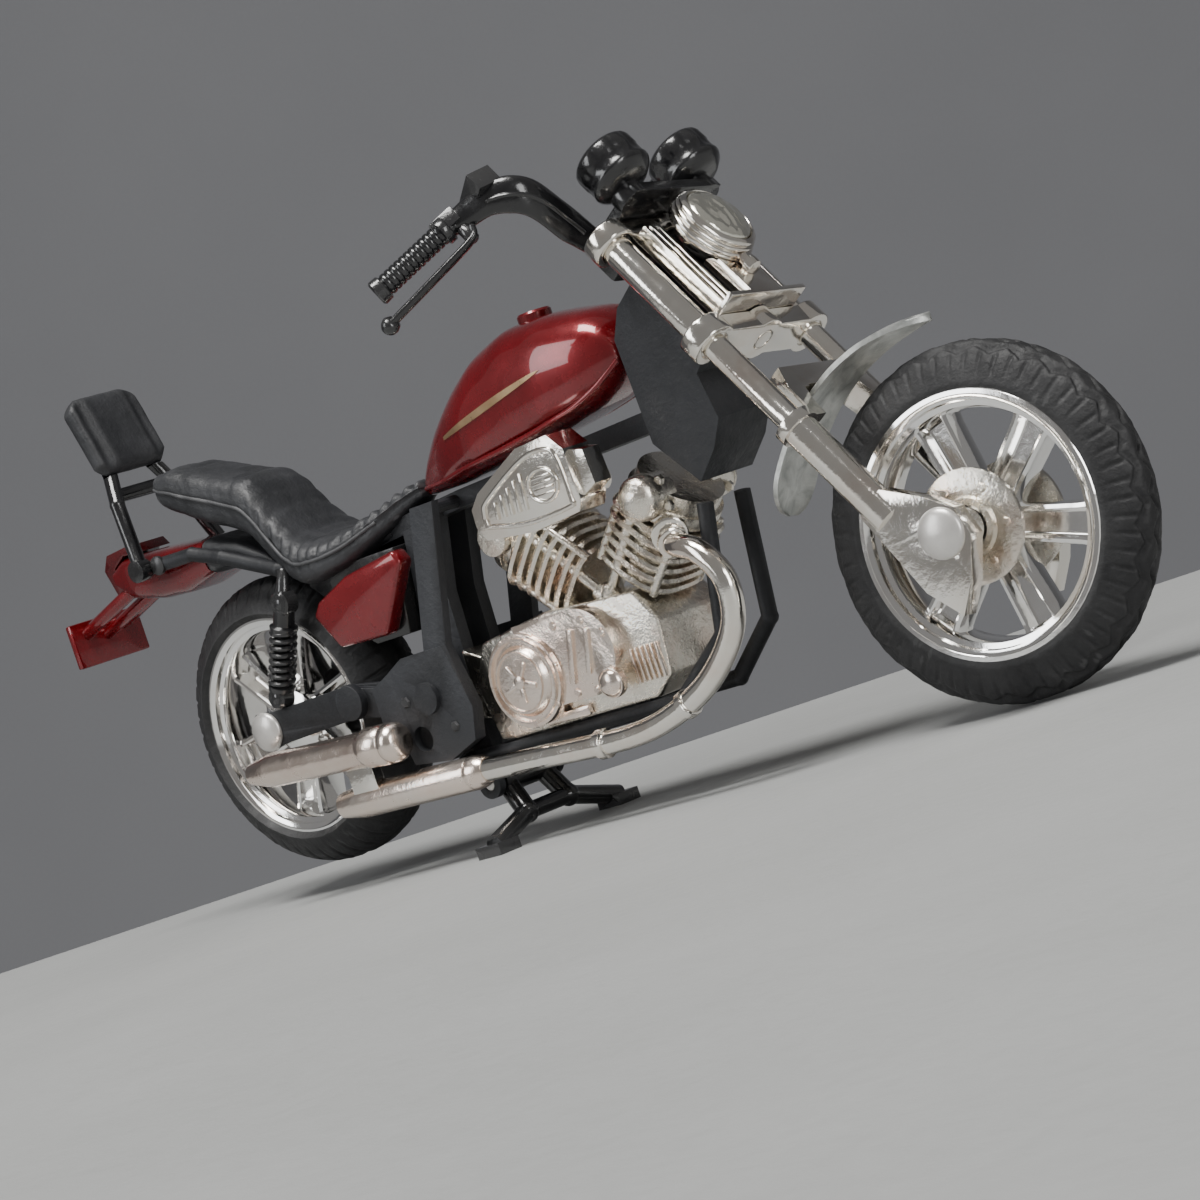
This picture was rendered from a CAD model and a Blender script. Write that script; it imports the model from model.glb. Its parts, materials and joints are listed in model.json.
import json
from math import atan2, copysign, cos, exp, hypot, pi, radians, sin, sqrt

import bmesh
import bpy
from mathutils import Matrix, Vector, noise


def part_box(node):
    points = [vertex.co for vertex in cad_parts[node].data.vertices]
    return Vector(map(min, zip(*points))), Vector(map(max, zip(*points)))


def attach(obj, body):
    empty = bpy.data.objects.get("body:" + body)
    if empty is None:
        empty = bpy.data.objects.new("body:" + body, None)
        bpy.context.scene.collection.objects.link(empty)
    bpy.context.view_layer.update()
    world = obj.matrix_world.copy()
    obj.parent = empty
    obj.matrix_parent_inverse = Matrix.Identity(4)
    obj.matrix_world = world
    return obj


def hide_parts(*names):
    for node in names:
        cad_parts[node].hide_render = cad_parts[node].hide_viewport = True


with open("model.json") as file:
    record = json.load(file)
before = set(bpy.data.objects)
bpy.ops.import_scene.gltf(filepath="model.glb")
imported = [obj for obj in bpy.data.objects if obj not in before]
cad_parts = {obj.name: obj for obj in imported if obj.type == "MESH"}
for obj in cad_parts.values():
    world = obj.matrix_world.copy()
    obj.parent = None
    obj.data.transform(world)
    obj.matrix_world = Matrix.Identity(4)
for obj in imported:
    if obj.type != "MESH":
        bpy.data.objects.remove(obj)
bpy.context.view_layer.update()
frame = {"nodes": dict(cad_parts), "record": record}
RECORD = frame["record"]
JOINTS = {j["name"]: j for j in RECORD["behaviour"]["joints"]}
SLOTS = {p["node"]: p["material_slot"] for p in RECORD["subparts"]}
BODY = {n: b for b, names in RECORD["behaviour"]["bodies"].items() for n in names}
MM = 0.001
SIDES = ((1, "left"), (-1, "right"))
REPLACED = set()

# ---------------------------------------------------------------- placing
REAR = Vector(JOINTS["rear_wheel_spin"]["pos_m"])
HUB = Vector(JOINTS["front_wheel_spin"]["pos_m"])
AXLE = Vector(JOINTS["front_wheel_spin"]["axis"]).normalized()
STEER = Vector(JOINTS["steering"]["axis"]).normalized()
STEER_AT = Vector(JOINTS["steering"]["pos_m"])

# millimetres in the machine's own frame: x from the rear axle, y from the middle plane, z from the ground
BIKE = Matrix.Translation((REAR.x, REAR.y, 0)) @ Matrix.Scale(MM, 4)
FORWARD = AXLE.cross(STEER).normalized()
FOOT = STEER_AT + STEER * (HUB - STEER_AT).dot(STEER)


def columns(x, y, z, at):
    m = Matrix((x, y, z)).transposed().to_4x4()
    m.translation = at
    return m @ Matrix.Scale(MM, 4)


FORK = columns(FORWARD, AXLE, STEER, FOOT)
FRONT = columns(FORWARD, AXLE, STEER, HUB)
BACK = columns(Vector((1, 0, 0)), Vector((0, 1, 0)), Vector((0, 0, 1)), REAR)


# ---------------------------------------------------------------- materials
def fill(tree, node, inputs):
    """Gives each input its value, or a link where a socket is given."""
    for name, value in inputs.items():
        if isinstance(value, bpy.types.NodeSocket):
            tree.links.new(value, node.inputs[name])
        else:
            node.inputs[name].default_value = value
    return node


def wired(tree, kind, inputs):
    return fill(tree, tree.nodes.new("ShaderNode" + kind), inputs)


def noise_tex(tree, vector, scale, detail, rough, distort=0.0):
    inputs = {"Vector": vector, "Scale": scale, "Detail": detail, "Roughness": rough, "Distortion": distort}
    return wired(tree, "TexNoise", inputs).outputs["Fac"]


def ramp(tree, fac, stops):
    r = wired(tree, "ValToRGB", {"Fac": fac})
    while len(r.color_ramp.elements) < len(stops):
        r.color_ramp.elements.new(0.5)
    for e, (pos, col) in zip(r.color_ramp.elements, stops):
        e.position = pos
        e.color = (*col, 1)
    return r.outputs["Color"]


def remap(tree, value, low, high, start=0.3, end=0.7):
    inputs = {"Value": value, "From Min": start, "From Max": end, "To Min": low, "To Max": high}
    return wired(tree, "MapRange", inputs).outputs["Result"]


def maths(tree, operation, a, b):
    m = wired(tree, "Math", {0: a, 1: b})
    m.operation = operation
    return m.outputs[0]


def add_heights(tree, items):
    total = None
    for socket, weight in items:
        part = maths(tree, "MULTIPLY", socket, weight)
        total = part if total is None else maths(tree, "ADD", total, part)
    return total


def surface(name, colours, rough, metallic=0.0, coat=0.0, coat_rough=0.05, spec=0.5, grain=300.0,
            bumps=((900.0, 1.0),), strength=0.25, depth=0.0001, distort=0.0, wear=None):
    """Procedural surface: mixed colour, lighter edges where wear is given, uneven gloss, layered bump."""
    mat = bpy.data.materials.new(name)
    mat.use_nodes = True
    tree = mat.node_tree
    vec = tree.nodes.new("ShaderNodeTexCoord").outputs["Object"]
    tint = noise_tex(tree, vec, grain, 5.0, 0.6, distort)
    count = len(colours)
    colour = ramp(tree, tint, [(0.3 + 0.4 * i / (count - 1), c) for i, c in enumerate(colours)])
    if wear:
        edge_colour, amount = wear
        edge = tree.nodes.new("ShaderNodeNewGeometry").outputs["Pointiness"]
        mix = tree.nodes.new("ShaderNodeMix")
        mix.data_type = "RGBA"
        mask = remap(tree, edge, 0.0, amount, 0.51, 0.62)
        fill(tree, mix, {"Factor": mask, "A": colour, "B": (*edge_colour, 1)})
        colour = mix.outputs["Result"]
    spots = noise_tex(tree, vec, 600.0, 6.0, 0.65)
    heights = add_heights(tree, [(noise_tex(tree, vec, s, 5.0, 0.6), w) for s, w in bumps])
    normal = wired(tree, "Bump", {"Height": heights, "Strength": strength, "Distance": depth})
    fill(tree, tree.nodes["Principled BSDF"], {"Base Color": colour,
                                               "Roughness": remap(tree, spots, *rough),
                                               "Metallic": metallic, "Coat Weight": coat,
                                               "Coat Roughness": coat_rough, "Specular IOR Level": spec,
                                               "Normal": normal.outputs["Normal"]})
    return mat


CHROME = surface("vacuum_chrome", [(0.86, 0.84, 0.80), (0.90, 0.86, 0.79), (0.84, 0.74, 0.66)],
                 (0.07, 0.17), 1.0, grain=160.0, bumps=((420.0, 1.0), (1500.0, 0.25)), strength=0.22,
                 depth=0.00025)
RIM_CHROME = surface("rim_chrome", [(0.90, 0.90, 0.90), (0.94, 0.93, 0.91), (0.88, 0.85, 0.82)],
                     (0.05, 0.12), 1.0, grain=120.0, bumps=((300.0, 1.0), (1800.0, 0.15)), strength=0.10,
                     depth=0.0002)
CAST_CHROME = surface("cast_chrome", [(0.80, 0.77, 0.70), (0.86, 0.81, 0.72), (0.76, 0.64, 0.55)],
                      (0.14, 0.34), 1.0, grain=260.0, bumps=((700.0, 1.0), (2200.0, 0.5)), strength=0.40,
                      depth=0.0003)
PINK_CHROME = surface("warm_chrome", [(0.84, 0.77, 0.70), (0.88, 0.76, 0.67), (0.80, 0.66, 0.58)],
                      (0.16, 0.30), 1.0, grain=200.0, bumps=((500.0, 1.0), (1900.0, 0.4)), strength=0.25,
                      depth=0.00025)
BLACK = surface("gloss_black", [(0.006, 0.006, 0.007), (0.012, 0.012, 0.013)], (0.12, 0.30), coat=0.6,
                coat_rough=0.08, bumps=((380.0, 1.0), (1500.0, 0.35)), strength=0.35, depth=0.0003,
                wear=((0.10, 0.10, 0.10), 0.25))
FRAME_BLACK = surface("cast_black", [(0.006, 0.0065, 0.008), (0.012, 0.013, 0.016)], (0.42, 0.66),
                      grain=180.0, bumps=((260.0, 1.0), (1100.0, 0.5), (3000.0, 0.3)), strength=0.45,
                      depth=0.0003, wear=((0.05, 0.053, 0.06), 0.45))
RED = surface("candy_red", [(0.13, 0.0015, 0.004), (0.19, 0.003, 0.007), (0.25, 0.005, 0.010)],
              (0.22, 0.32), 0.45, coat=1.0, coat_rough=0.03, grain=90.0,
              bumps=((150.0, 1.0), (700.0, 0.12)), strength=0.10, depth=0.0004)
DARK_RED = surface("deep_red", [(0.07, 0.001, 0.003), (0.12, 0.002, 0.005)], (0.20, 0.34), 0.4, coat=0.9,
                   coat_rough=0.05, grain=120.0, bumps=((200.0, 1.0), (900.0, 0.2)), strength=0.12,
                   depth=0.0003)
SEAT = surface("seat_vinyl", [(0.014, 0.015, 0.017), (0.024, 0.025, 0.028), (0.034, 0.035, 0.039)],
               (0.40, 0.62), spec=0.55, grain=240.0, bumps=((900.0, 0.6), (2600.0, 0.5), (350.0, 0.8)),
               strength=0.5, depth=0.00025, wear=((0.15, 0.15, 0.155), 0.55))
TYRE = surface("tyre_rubber", [(0.010, 0.010, 0.011), (0.018, 0.018, 0.019), (0.026, 0.026, 0.027)],
               (0.48, 0.74), spec=0.45, grain=260.0, bumps=((700.0, 1.0), (2400.0, 0.5)), strength=0.5,
               depth=0.0003, wear=((0.09, 0.09, 0.09), 0.35))
SILVER = surface("silver_paint", [(0.30, 0.31, 0.30), (0.52, 0.53, 0.51), (0.68, 0.69, 0.66)], (0.30, 0.5),
                 0.75, grain=420.0, bumps=((800.0, 1.0), (2200.0, 0.4)), strength=0.3, depth=0.0002,
                 distort=0.6)
PEARL = surface("pearl_silver", [(0.60, 0.58, 0.55), (0.72, 0.70, 0.67)], (0.26, 0.36), 0.55, coat=0.3,
                coat_rough=0.15, grain=400.0, bumps=((600.0, 1.0),), strength=0.12, depth=0.0002)
DARK_METAL = surface("dark_metal", [(0.05, 0.05, 0.052), (0.11, 0.11, 0.112)], (0.30, 0.5), 0.8,
                     grain=300.0, bumps=((900.0, 1.0),), strength=0.3, depth=0.0002)
GOLD = surface("gold_trim", [(0.55, 0.36, 0.20), (0.68, 0.48, 0.28)], (0.26, 0.4), 0.9, grain=500.0,
               bumps=((1200.0, 1.0),), strength=0.15, depth=0.0001)
LENS = surface("lens_chrome", [(0.80, 0.79, 0.70), (0.88, 0.86, 0.76)], (0.05, 0.14), 0.92, coat=0.6,
               coat_rough=0.02, grain=350.0, bumps=((500.0, 1.0), (1800.0, 0.3)), strength=0.3,
               depth=0.0003)
PAINT = {"frame_black": FRAME_BLACK, "gloss_black": BLACK, "candy_red": RED, "seat_grey": SEAT,
         "tyre": TYRE, "chrome": CHROME, "silver_paint": SILVER, "axle_steel": PEARL,
         "dark_metal": DARK_METAL}


# ---------------------------------------------------------------- mesh helpers
def around(count):
    """Angles of equal steps round a circle."""
    return [2 * pi * k / count for k in range(count)]


def signed_power(v, power):
    return copysign(abs(v) ** power, v)


def clamp(v):
    return min(1.0, max(0.0, v))


def bell(v, middle, width):
    return exp(-((v - middle) / width) ** 2)


def mirror(side):
    """Leaves the left side alone and flips the right side across the middle plane."""
    return Matrix.Scale(side, 4, (0, 1, 0)) if side < 0 else Matrix.Identity(4)


def pointed(p, q):
    """Placing with its origin at p and its Z towards q."""
    m = (Vector(q) - Vector(p)).normalized().to_track_quat("Z", "Y").to_matrix().to_4x4()
    m.translation = p
    return m


def linked(name, data):
    obj = bpy.data.objects.new(name, data)
    bpy.context.collection.objects.link(obj)
    return obj


def both_sides(profile):
    """Outline of (radius, distance) pairs on one side of a wheel, continued back along the other."""
    return profile + [(r, -y) for r, y in reversed(profile)]


def finish(obj, node, material=None, replaced=None, body=None):
    obj.data.materials.clear()
    obj.data.materials.append(material or PAINT[SLOTS[node]])
    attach(obj, body or BODY[node])
    names = replaced if replaced is not None else [node]
    if names:
        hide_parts(*names)
        REPLACED.update(names)
    return obj


def smooth_by_angle(mesh, degrees=38.0):
    """Smooth faces with the edges above the angle kept sharp."""
    bm = bmesh.new()
    bm.from_mesh(mesh)
    limit = radians(degrees)
    for f in bm.faces:
        f.smooth = True
    for e in bm.edges:
        e.smooth = not (len(e.link_faces) == 2 and e.calc_face_angle(0.0) > limit)
    bm.to_mesh(mesh)
    bm.free()


def new_object(name, verts, faces, place=None, degrees=38.0):
    mesh = bpy.data.meshes.new(name)
    mesh.from_pydata([tuple(v) for v in verts], [], faces)
    if place is not None:
        mesh.transform(place)
    bm = bmesh.new()
    bm.from_mesh(mesh)
    bmesh.ops.remove_doubles(bm, verts=bm.verts, dist=1e-7)
    bmesh.ops.recalc_face_normals(bm, faces=bm.faces)
    bm.to_mesh(mesh)
    bm.free()
    smooth_by_angle(mesh, degrees)
    return linked(name, mesh)


def apply_modifiers(obj, degrees=38.0):
    deps = bpy.context.evaluated_depsgraph_get()
    bpy.context.view_layer.update()
    mesh = bpy.data.meshes.new_from_object(obj.evaluated_get(deps))
    obj.modifiers.clear()
    obj.data = mesh
    smooth_by_angle(mesh, degrees)
    return obj


def soften(node, bevel=0.18, segments=2, material=None, rough=0.0, name=None, angle=32.0):
    """A rounded copy of a CAD node: flat faces joined, sharp edges bevelled, cast unevenness added."""
    src = frame["nodes"][node]
    mesh = src.data.copy()
    mesh.transform(src.matrix_world)
    bm = bmesh.new()
    bm.from_mesh(mesh)
    bmesh.ops.remove_doubles(bm, verts=bm.verts, dist=2e-6)
    bmesh.ops.dissolve_limit(bm, angle_limit=radians(1.0), verts=bm.verts, edges=bm.edges)
    bm.to_mesh(mesh)
    bm.free()
    obj = linked(name or "look_" + node, mesh)
    mod = obj.modifiers.new("bevel", "BEVEL")
    mod.width = bevel * MM
    mod.segments = segments
    mod.limit_method = "ANGLE"
    mod.angle_limit = radians(angle)
    mod.use_clamp_overlap = True
    mod.harden_normals = False
    apply_modifiers(obj, 42.0)
    if rough:
        for v in obj.data.vertices:
            v.co += v.normal * (noise.noise(v.co * 900.0) * rough * MM)
    return finish(obj, node, material)


def grid_faces(rows, cols, wrap_rows=False, wrap_cols=True):
    faces = []
    for i in range(rows if wrap_rows else rows - 1):
        for j in range(cols if wrap_cols else cols - 1):
            a, b = i * cols + j, i * cols + (j + 1) % cols
            c, d = ((i + 1) % rows) * cols + (j + 1) % cols, ((i + 1) % rows) * cols + j
            faces.append((a, b, c, d))
    return faces


def rings_mesh(rings, caps=True):
    cols = len(rings[0])
    verts = [Vector(p) for r in rings for p in r]
    faces = grid_faces(len(rings), cols)
    if caps:
        for base in (0, (len(rings) - 1) * cols):
            mid = sum((verts[base + j] for j in range(cols)), Vector()) / cols
            verts.append(mid)
            k = len(verts) - 1
            faces += [(base + j, base + (j + 1) % cols, k) for j in range(cols)]
    return verts, faces


def spline(points, steps):
    """Catmull-Rom curve through the points."""
    pts = [Vector(p) for p in points]
    pts = [pts[0] * 2 - pts[1]] + pts + [pts[-1] * 2 - pts[-2]]
    out = []
    for i in range(1, len(pts) - 2):
        for s in range(steps):
            t = s / steps
            a, b, c, d = pts[i - 1], pts[i], pts[i + 1], pts[i + 2]
            out.append(0.5 * ((2 * b) + (c - a) * t + (2 * a - 5 * b + 4 * c - d) * t * t
                              + (3 * b - a - 3 * c + d) * t ** 3))
    out.append(pts[-2])
    return out


def interp(table, x):
    """Value at x on straight lines between sorted (x, value) pairs."""
    if x <= table[0][0]:
        return table[0][1]
    for (x0, y0), (x1, y1) in zip(table, table[1:]):
        if x <= x1:
            t = (x - x0) / (x1 - x0)
            return y0 + (y1 - y0) * t
    return table[-1][1]


def eased(table, x, spread):
    """Table value averaged over a short span, which rounds its corners."""
    return sum(interp(table, x + spread * k / 3.0) * w for k,
               w in ((-3, 0.07), (-2, 0.12), (-1, 0.19), (0, 0.24), (1, 0.19), (2, 0.12), (3, 0.07)))


def tube_rings(path, radius, sides=24, wide=None, wide_dir=None):
    """Rings along a path; wide gives the half width along wide_dir where the section isn't round."""
    rings = []
    up = Vector(wide_dir) if wide_dir else Vector((0.13, 0.27, 1.0))
    for i, p in enumerate(path):
        t = (path[min(i + 1, len(path) - 1)] - path[max(i - 1, 0)]).normalized()
        w = (up - t * up.dot(t)).normalized()
        v = t.cross(w)
        r = radius(i / (len(path) - 1)) if callable(radius) else radius
        a = wide(i / (len(path) - 1)) if wide else r
        ring = []
        for ang in around(sides):
            ring.append(p + w * (a * cos(ang)) + v * (r * sin(ang)))
        rings.append(ring)
    return rings


def lathe(profile, sides=96, axis="y"):
    """Rings turned about an axis from (radius, distance) pairs."""
    rings = []
    for r, d in profile:
        turned = [(r * cos(a), r * sin(a)) for a in around(sides)]
        if axis == "x":
            rings.append([Vector((d, u, v)) for u, v in turned])
        elif axis == "y":
            rings.append([Vector((u, d, v)) for u, v in turned])
        else:
            rings.append([Vector((u, v, d)) for u, v in turned])
    return rings


class Soup:
    """Collects several shells into one mesh."""

    def __init__(self):
        self.verts, self.faces = [], []

    def add(self, verts, faces, place=None):
        base = len(self.verts)
        self.verts += [place @ Vector(v) if place else Vector(v) for v in verts]
        self.faces += [tuple(i + base for i in f) for f in faces]
        return self

    def rings(self, rings, caps=True, place=None):
        return self.add(*rings_mesh(rings, caps), place)

    def turned(self, p, q, profile, sides=32):
        """Outline of (distance, radius) pairs round the line from p to q."""
        return self.rings(lathe([(r, h) for h, r in profile], sides, "z"), True, pointed(p, q))

    def hoop(self, profile, sides=64):
        """Closed outline of (radius, distance) pairs turned about Y."""
        rings = lathe(profile, sides)
        return self.add([p for r in rings for p in r], grid_faces(len(rings), sides, True, True))

    def rod(self, p, q, r, sides=24, soft=0.15):
        length = (Vector(q) - Vector(p)).length
        s = min(soft, r * 0.6)
        return self.turned(p, q, [(0, r - s), (s * 0.3, r - s * 0.3), (s, r), (length - s, r),
                                  (length - s * 0.3, r - s * 0.3), (length, r - s)], sides)

    def block(self, size, place, soft=0.2):
        """Box with chamfered edges."""
        sx, sy, sz = (v / 2 for v in size)
        bm = bmesh.new()
        bmesh.ops.create_cube(bm, size=1.0)
        for v in bm.verts:
            v.co = Vector((v.co.x * 2 * sx, v.co.y * 2 * sy, v.co.z * 2 * sz))
        bmesh.ops.bevel(bm, geom=list(bm.edges), offset=soft, segments=2, affect="EDGES", profile=0.6)
        bm.verts.index_update()
        self.add([v.co.copy() for v in bm.verts], [tuple(v.index for v in f.verts) for f in bm.faces],
                 place)
        bm.free()
        return self

    def bolt(self, at, out, r=0.55, h=0.5, sides=6):
        """Hexagon head with a chamfer, standing at a point and facing out."""
        at, out = Vector(at), Vector(out).normalized()
        return self.turned(at - out * 0.1, at + out * h, [(0, r), (h * 0.8, r), (h + 0.1, r * 0.72)], sides)

    def build(self, name, place=None, degrees=38.0):
        return new_object(name, self.verts, self.faces, place, degrees)


def at_mm(x, y, z):
    return Matrix.Translation((x, y, z))


# ---------------------------------------------------------------- tank
BELLY = 0.42  # height of the widest line, as a part of the tank's height
CROWN, UNDER, FLANK = 0.80, 0.42, 0.72  # powers that round the section's top, underside and sides


def tank_at(x):
    """Half width, underside and top of the tank at x."""
    return eased(TANK_HALF, x, 1.5), eased(TANK_LOW, x, 1.2), eased(TANK_TOP, x, 1.2)


def tank_ring(x, half, low, high, cols):
    """Cross-section at x: a crowned upper part and a flatter underside, widest at the belly."""
    ring = []
    mid = low + (high - low) * BELLY
    for a in around(cols):
        c, s = cos(a), sin(a)
        z = mid + (high - mid) * abs(s) ** CROWN if s >= 0 else mid - (mid - low) * abs(s) ** UNDER
        ring.append(Vector((x, half * signed_power(c, FLANK), z)))
    return ring


TANK_TOP = [(25.2, 33.9), (27, 35.9), (30, 38.5), (34, 41.3), (38, 43.5), (42.4, 44.7), (47, 44.6),
            (50, 44.1), (53.2, 43.4), (55.2, 41.6), (56.2, 39.4)]
TANK_LOW = [(25.2, 32.9), (30, 32.9), (34, 33.3), (40, 33.7), (45, 34.2), (50, 35.0), (53, 36.1),
            (55.2, 37.6), (56.2, 38.6)]
TANK_HALF = [(25.2, 0.9), (27, 2.0), (31, 3.7), (36, 5.0), (42, 5.65), (47, 5.75), (51, 5.3), (54, 4.5),
             (56.2, 3.0)]


def make_tank():
    cols, steps = 48, 60
    x0, x1 = 25.25, 56.1
    rear_round, front_round = 0.035, 0.955  # parts of the length between which the ends aren't rounded
    rings = []
    for i in range(steps + 1):
        t = i / steps
        x = x0 + (x1 - x0) * t
        half, low, high = tank_at(x)
        end = min(1.0, t / rear_round + 0.12)
        if t > front_round:
            end = sqrt(max(0.0, 1 - ((t - front_round) / 0.048) ** 2))
        mid = low + (high - low) * BELLY
        ring = [Vector((p.x, p.y * end, mid + (p.z - mid) * end))
                for p in tank_ring(x, half, low, high, cols)]
        rings.append(ring)
    finish(new_object("fuel_tank", *rings_mesh(rings), BIKE, 60), "tank")
    # folded seam round the lower edge
    seam = Soup()
    count = 40
    for side in (-1, 1):
        path = []
        for i in range(count):
            x = 26.2 + (55.2 - 26.2) * i / (count - 1)
            half, low, _ = tank_at(x)
            path.append(Vector((x, side * half * 0.93, low + 0.75)))
        seam.rings(tube_rings(path, 0.28, 10))
    finish(seam.build("tank_seam", BIKE, 60), "tank", RED, [])
    # plain trim line in place of lettering
    trim = Soup()
    for side in (-1, 1):
        outer, inner = [], []
        n = 26
        for i in range(n):
            t = i / (n - 1)
            x = 33.0 + 15.0 * t
            rise = 37.3 + 2.6 * t
            width = 0.34 * sin(pi * min(1, 0.06 + t * 0.94)) ** 0.5
            for offset, store in ((width, outer), (-width, inner)):
                z = rise + offset
                half, low, high = tank_at(x)
                mid = low + (high - low) * BELLY
                s = min(0.999, max(0.0, (z - mid) / (high - mid))) ** (1 / CROWN)
                y = half * sqrt(1 - s * s) ** FLANK
                store.append(Vector((x, side * (y + 0.05), z)))
        verts = outer + inner
        faces = [(i, i + 1, n + i + 1, n + i) for i in range(n - 1)]
        trim.add(verts, faces)
    piece = trim.build("tank_trim", BIKE, 60)
    solid = piece.modifiers.new("thick", "SOLIDIFY")
    solid.thickness = 0.08 * MM
    solid.offset = 0
    apply_modifiers(piece, 60)
    finish(piece, "tank", GOLD, [])
    cap = Soup()
    cap.rings(lathe([(0.01, 43.4), (1.5, 43.4), (1.62, 44.6), (1.62, 45.05), (1.45, 45.25), (1.1, 45.28),
                     (1.0, 45.18), (0.01, 45.2)], 40, "z"), True, at_mm(44.5, 0, 0.1))
    finish(cap.build("filler_cap", BIKE), "tank_cap", RED)


# ---------------------------------------------------------------- seat and backrest
SEAT_TOP = [(-8.2, 43.4), (-7.4, 44.3), (-5, 44.2), (-2, 43.2), (2.2, 41.5), (4.4, 40.9), (5.8, 39.6),
            (7.2, 37.3), (9, 34.8), (11, 33.3), (14, 32.75), (17, 33.0), (20, 33.8), (22.5, 34.5),
            (25, 34.8)]
SEAT_LOW = [(-8.2, 42.2), (-7, 40.2), (-3, 37.9), (1, 36.3), (4.2, 34.6), (6.2, 31.6), (8.4, 29.2),
            (11, 28.3), (16, 28.9), (19, 30.2), (25, 32.9)]
SEAT_HALF = [(-8.2, 3.2), (-7.2, 4.1), (-4, 4.5), (3, 4.6), (6, 4.9), (8, 5.4), (10.5, 6.2), (12.5, 6.35),
             (15, 6.0), (18, 4.5), (21, 2.9), (24, 2.0), (25, 1.5)]


def seat_at(x):
    """Half width, underside and top of the seat at x."""
    return eased(SEAT_HALF, x, 0.9), eased(SEAT_LOW, x, 0.8), eased(SEAT_TOP, x, 0.55)


def ripple(x, pitch, power):
    """1 on each crest and 0 halfway between them."""
    return (0.5 + 0.5 * cos(2 * pi * x / pitch)) ** power


def make_seat():
    cols, steps = 72, 190
    step = 4.6  # x where the pillion part drops to the rider's part
    cushion = 0.60  # part of the thickness above the skirt
    rings = []
    for i in range(steps + 1):
        t = i / steps
        x = -8.2 + 33.2 * t
        half, low, high = seat_at(x)
        thick = high - low
        ring = []
        end = min(1.0, sqrt(max(0.0, 1 - ((0.03 - t) / 0.034) ** 2))) if t < 0.03 else 1.0
        rider = clamp((x - step) / 2.0) * clamp((20.5 - x) / 2.0)
        pillion = clamp((step - x) / 1.5)
        for a in around(cols):
            c, s = cos(a), sin(a)
            side = signed_power(c, 0.55)
            if s >= 0:
                z = high - thick * cushion * (1 - abs(s) ** 0.55)
                y = half * side
            else:
                z = high - thick * cushion - thick * (1 - cushion) * abs(s) ** 0.45
                y = half * side * (1 - 0.10 * abs(s))
            p = Vector((x, y * end, low + (z - low) * end + (1 - end) * thick * 0.4))
            normal = Vector((0, c, s))
            # welt between cushion and skirt
            level = (high - z) / thick
            d = -0.30 * bell(level, 0.47, 0.035) + 0.16 * bell(level, 0.40, 0.04)
            # pleats running in from the welt of the rider's part
            edge = bell(level, 0.30, 0.20)
            d -= rider * edge * 0.26 * ripple(x, 1.25, 2)
            # soft cross channels on top of the rider's part and the front of the pillion part
            top = max(0.0, s) ** 2
            d -= rider * top * 0.20 * ripple(x + 0.3, 2.5, 4)
            d -= pillion * top * 0.10 * ripple(x, 3.3, 6)
            q = Vector((x * 0.32, y * 0.38, z * 0.32))
            d += 0.16 * noise.noise(q) + 0.07 * noise.noise(q * 3.1)
            nose = clamp((x - 16.5) / 3.0)
            d += nose * 0.22 * sin(x * 4.2 + y * 1.6 + 2.0 * noise.noise(q * 1.5)) * max(0.0, s)
            p += normal * (d - 0.22)
            ring.append(p)
        rings.append(ring)
    seat = new_object("dual_seat", *rings_mesh(rings), BIKE, 75)
    finish(seat, "seat")
    # welt cord between cushion and skirt
    soup = Soup()
    count = 90
    for side in (-1, 1):
        path = []
        for i in range(count):
            x = -7.4 + 27.4 * i / (count - 1)
            half, low, high = seat_at(x)
            path.append(Vector((x, side * (half - 0.28), high - (high - low) * 0.47)))
        soup.rings(tube_rings(path, 0.20, 8))
    finish(soup.build("seat_welt", BIKE, 75), "seat", SEAT, [])


def make_backrest():
    """Ribbed pad: leaning slab with rounded corners and three raised ribs."""
    rows, cols = 46, 64
    rings = []
    bottom, top = Vector((-13.2, 0, 45.6)), Vector((-15.6, 0, 53.9))
    along = top - bottom
    out = Vector((-along.z, 0, along.x)).normalized()
    for i in range(rows + 1):
        t = i / rows
        centre = bottom + along * t
        width = 4.45 * min(1.0, 0.78 + t * 1.7) * (1 - 0.36 * max(0.0, (t - 0.82) / 0.18) ** 2)
        depth = 1.15 * sqrt(max(0.0, 1 - abs(2 * t - 1) ** 7)) + 0.05
        ring = []
        for a in around(cols):
            c, s = cos(a), sin(a)
            y = width * signed_power(c, 0.42)
            d = depth * signed_power(s, 0.55)
            rib = 0.5 + 0.5 * cos(2 * pi * y / 2.25)
            d -= copysign(0.50 * (1 - rib) ** 1.5 * abs(s) ** 2 * min(1, 6 * t, 6 * (1 - t)), s)
            q = Vector((y * 0.5, t * 5, s))
            ring.append(centre + Vector((0, y, 0)) + out * (d + 0.08 * noise.noise(q)))
        rings.append(ring)
    pad = new_object("back_pad", *rings_mesh(rings), BIKE, 75)
    finish(pad, "backrest")


# ---------------------------------------------------------------- wheels
def groove(value, half_width):
    """1 inside a groove of the given half width, falling steeply to 0 outside it."""
    return 1.0 / (1.0 + exp((abs(value) - half_width) * 48.0))


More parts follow.
